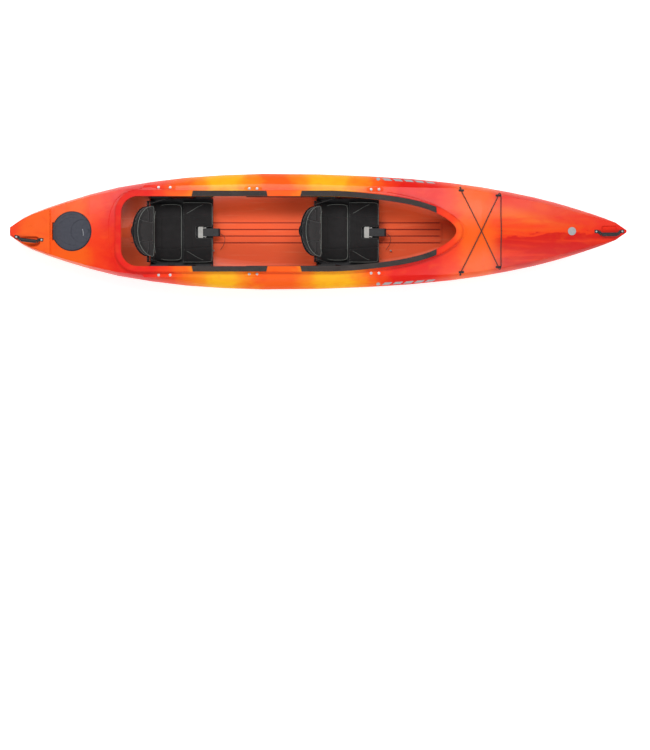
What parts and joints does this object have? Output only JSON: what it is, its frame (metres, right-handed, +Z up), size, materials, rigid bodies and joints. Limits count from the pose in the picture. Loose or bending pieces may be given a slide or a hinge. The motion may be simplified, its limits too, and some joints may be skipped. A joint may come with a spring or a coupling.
{
  "type": "kayak",
  "caption": "Long open-cockpit recreational kayak for two, with reclining seats, foot braces, a round stern hatch, carry handles and deck cord.",
  "frame": {"origin": "centre of the bounding box, at its bottom: under the middle of the boat, on the flat of the keel", "axes": "+X towards the bow, +Y to port, +Z up"},
  "size_m": [4.11, 0.7732, 0.4127],
  "materials": {
    "badge_plastic": "plain light disc",
    "black_plastic": "black moulded polyethylene",
    "deck_plastic": "rotomoulded polyethylene, orange, red and yellow blended along the boat",
    "elastic_cord": "braided cord",
    "foam": "closed-cell foam",
    "gasket_rubber": "soft black rubber",
    "grey_plastic": "light grey nylon",
    "hatch_plastic": "slate grey moulded plastic",
    "hull_plastic": "rotomoulded polyethylene, orange, red and yellow blended along the boat",
    "pad_foam": "ribbed dark grey-brown moulded rubber",
    "rail_plastic": "black glass-filled nylon",
    "seat_fabric": "black woven fabric over foam, grey piping",
    "stainless_steel": "stainless steel",
    "webbing": "black webbing"
  },
  "bodies": {
    "boat": {"bow_badge": "badge_plastic", "bow_handle_webbing": "webbing", "bungee": "elastic_cord", "cockpit_rim": "deck_plastic", "deck": "deck_plastic", "deck_eyes": "black_plastic", "foot_rail_front_port": "rail_plastic", "foot_rail_front_starboard": "rail_plastic", "foot_rail_middle_port": "rail_plastic", "foot_rail_middle_starboard": "rail_plastic", "foot_rail_rear_port": "rail_plastic", "foot_rail_rear_starboard": "rail_plastic", "front_seat_rail_port": "rail_plastic", "front_seat_rail_starboard": "rail_plastic", "hatch_gasket": "gasket_rubber", "hatch_hinge_pin": "stainless_steel", "hatch_rim": "hatch_plastic", "hull": "hull_plastic", "pad_rivets": "stainless_steel", "rear_seat_back_straps": "webbing", "rear_seat_base": "black_plastic", "rear_seat_cushion": "seat_fabric", "rear_seat_pull_cord": "elastic_cord", "rear_seat_rail_port": "rail_plastic", "rear_seat_rail_starboard": "rail_plastic", "rear_seat_ratchet_body": "black_plastic", "rear_seat_ratchet_pin": "stainless_steel", "rim_pad_front_port": "pad_foam", "rim_pad_front_starboard": "pad_foam", "rim_pad_rear_port": "pad_foam", "rim_pad_rear_starboard": "pad_foam", "screws": "stainless_steel", "stern_bulkhead": "foam", "stern_handle_webbing": "webbing"},
    "front_seat": {"front_seat_base": "black_plastic", "front_seat_cushion": "seat_fabric", "front_seat_ratchet_body": "black_plastic", "front_seat_ratchet_pin": "stainless_steel", "front_seat_pull_cord": "elastic_cord", "front_seat_back_straps": "webbing"},
    "front_leg_panel": {"front_seat_leg_panel": "seat_fabric"},
    "front_ratchet_lever": {"front_seat_ratchet_lever": "grey_plastic"},
    "front_backrest": {"front_seat_back_plate": "black_plastic", "front_seat_back_pad": "seat_fabric", "front_seat_back_handle": "webbing"},
    "rear_leg_panel": {"rear_seat_leg_panel": "seat_fabric"},
    "rear_ratchet_lever": {"rear_seat_ratchet_lever": "grey_plastic"},
    "rear_backrest": {"rear_seat_back_plate": "black_plastic", "rear_seat_back_pad": "seat_fabric", "rear_seat_back_handle": "webbing"},
    "rear_pedal_port": {"foot_pedal_rear_port": "black_plastic"},
    "rear_pedal_starboard": {"foot_pedal_rear_starboard": "black_plastic"},
    "middle_pedal_port": {"foot_pedal_middle_port": "black_plastic"},
    "middle_pedal_starboard": {"foot_pedal_middle_starboard": "black_plastic"},
    "front_pedal_port": {"foot_pedal_front_port": "black_plastic"},
    "front_pedal_starboard": {"foot_pedal_front_starboard": "black_plastic"},
    "hatch_cover": {"hatch_cover": "hatch_plastic"},
    "hatch_latch": {"hatch_latch": "hatch_plastic"},
    "bow_handle": {"bow_handle_grip": "black_plastic"},
    "stern_handle": {"stern_handle_grip": "black_plastic"}
  },
  "joints": [
    {"name": "front_seat_slide", "type": "slide", "parent": "boat", "child": "front_seat", "axis": [1, 0, 0], "range_m": [-0.4, 0]},
    {"name": "front_backrest_recline", "type": "hinge", "parent": "front_seat", "child": "front_backrest", "pos_m": [0.002, 0, 0.1], "axis": [0, 1, 0], "range_deg": [-10, 75], "deforming": ["front_seat_back_straps"]},
    {"name": "front_leg_panel_lift", "type": "hinge", "parent": "front_seat", "child": "front_leg_panel", "pos_m": [0.2029, 0, 0.098], "axis": [0, -1, 0], "range_deg": [0, 20]},
    {"name": "front_ratchet_lever_lift", "type": "hinge", "parent": "front_seat", "child": "front_ratchet_lever", "pos_m": [0.356, 0, 0.08], "axis": [0, 1, 0], "range_deg": [0, 60]},
    {"name": "rear_backrest_recline", "type": "hinge", "parent": "boat", "child": "rear_backrest", "pos_m": [-1.113, 0, 0.1], "axis": [0, 1, 0], "range_deg": [-4, 75], "deforming": ["rear_seat_back_straps"]},
    {"name": "rear_leg_panel_lift", "type": "hinge", "parent": "boat", "child": "rear_leg_panel", "pos_m": [-0.9121, 0, 0.098], "axis": [0, -1, 0], "range_deg": [0, 20]},
    {"name": "rear_ratchet_lever_lift", "type": "hinge", "parent": "boat", "child": "rear_ratchet_lever", "pos_m": [-0.759, 0, 0.08], "axis": [0, 1, 0], "range_deg": [0, 60]},
    {"name": "rear_pedal_slide_port", "type": "slide", "parent": "boat", "child": "rear_pedal_port", "axis": [1, -0.0013, -0.0001], "range_m": [-0.105, 0.105]},
    {"name": "rear_pedal_slide_starboard", "type": "slide", "parent": "boat", "child": "rear_pedal_starboard", "axis": [1, 0.0013, -0.0001], "range_m": [-0.105, 0.105]},
    {"name": "middle_pedal_slide_port", "type": "slide", "parent": "boat", "child": "middle_pedal_port", "axis": [0.9967, -0.0789, 0.017], "range_m": [-0.105, 0.105]},
    {"name": "middle_pedal_slide_starboard", "type": "slide", "parent": "boat", "child": "middle_pedal_starboard", "axis": [0.9967, 0.0789, 0.017], "range_m": [-0.105, 0.105]},
    {"name": "front_pedal_slide_port", "type": "slide", "parent": "boat", "child": "front_pedal_port", "axis": [0.9841, -0.1699, 0.0511], "range_m": [-0.105, 0.105]},
    {"name": "front_pedal_slide_starboard", "type": "slide", "parent": "boat", "child": "front_pedal_starboard", "axis": [0.9841, 0.1699, 0.0511], "range_m": [-0.105, 0.105]},
    {"name": "hatch_hinge", "type": "hinge", "parent": "boat", "child": "hatch_cover", "pos_m": [-1.76399, 0, 0.26656], "axis": [0, -1, 0], "range_deg": [0, 95]},
    {"name": "hatch_latch_lift", "type": "hinge", "parent": "hatch_cover", "child": "hatch_latch", "pos_m": [-1.52963, 0, 0.2945], "axis": [0, 1, 0], "range_deg": [0, 20]},
    {"name": "bow_handle_swing", "type": "hinge", "parent": "boat", "child": "bow_handle", "pos_m": [1.841, -0.002, 0.27677], "axis": [-0.9998, -0.0051, 0.0176], "range_deg": [-15, 95], "deforming": ["bow_handle_webbing"]},
    {"name": "stern_handle_swing", "type": "hinge", "parent": "boat", "child": "stern_handle", "pos_m": [-2.02, -0.038, 0.31642], "axis": [-0.9932, 0.1144, 0.0231], "range_deg": [-15, 80], "deforming": ["stern_handle_webbing"]}
  ]
}
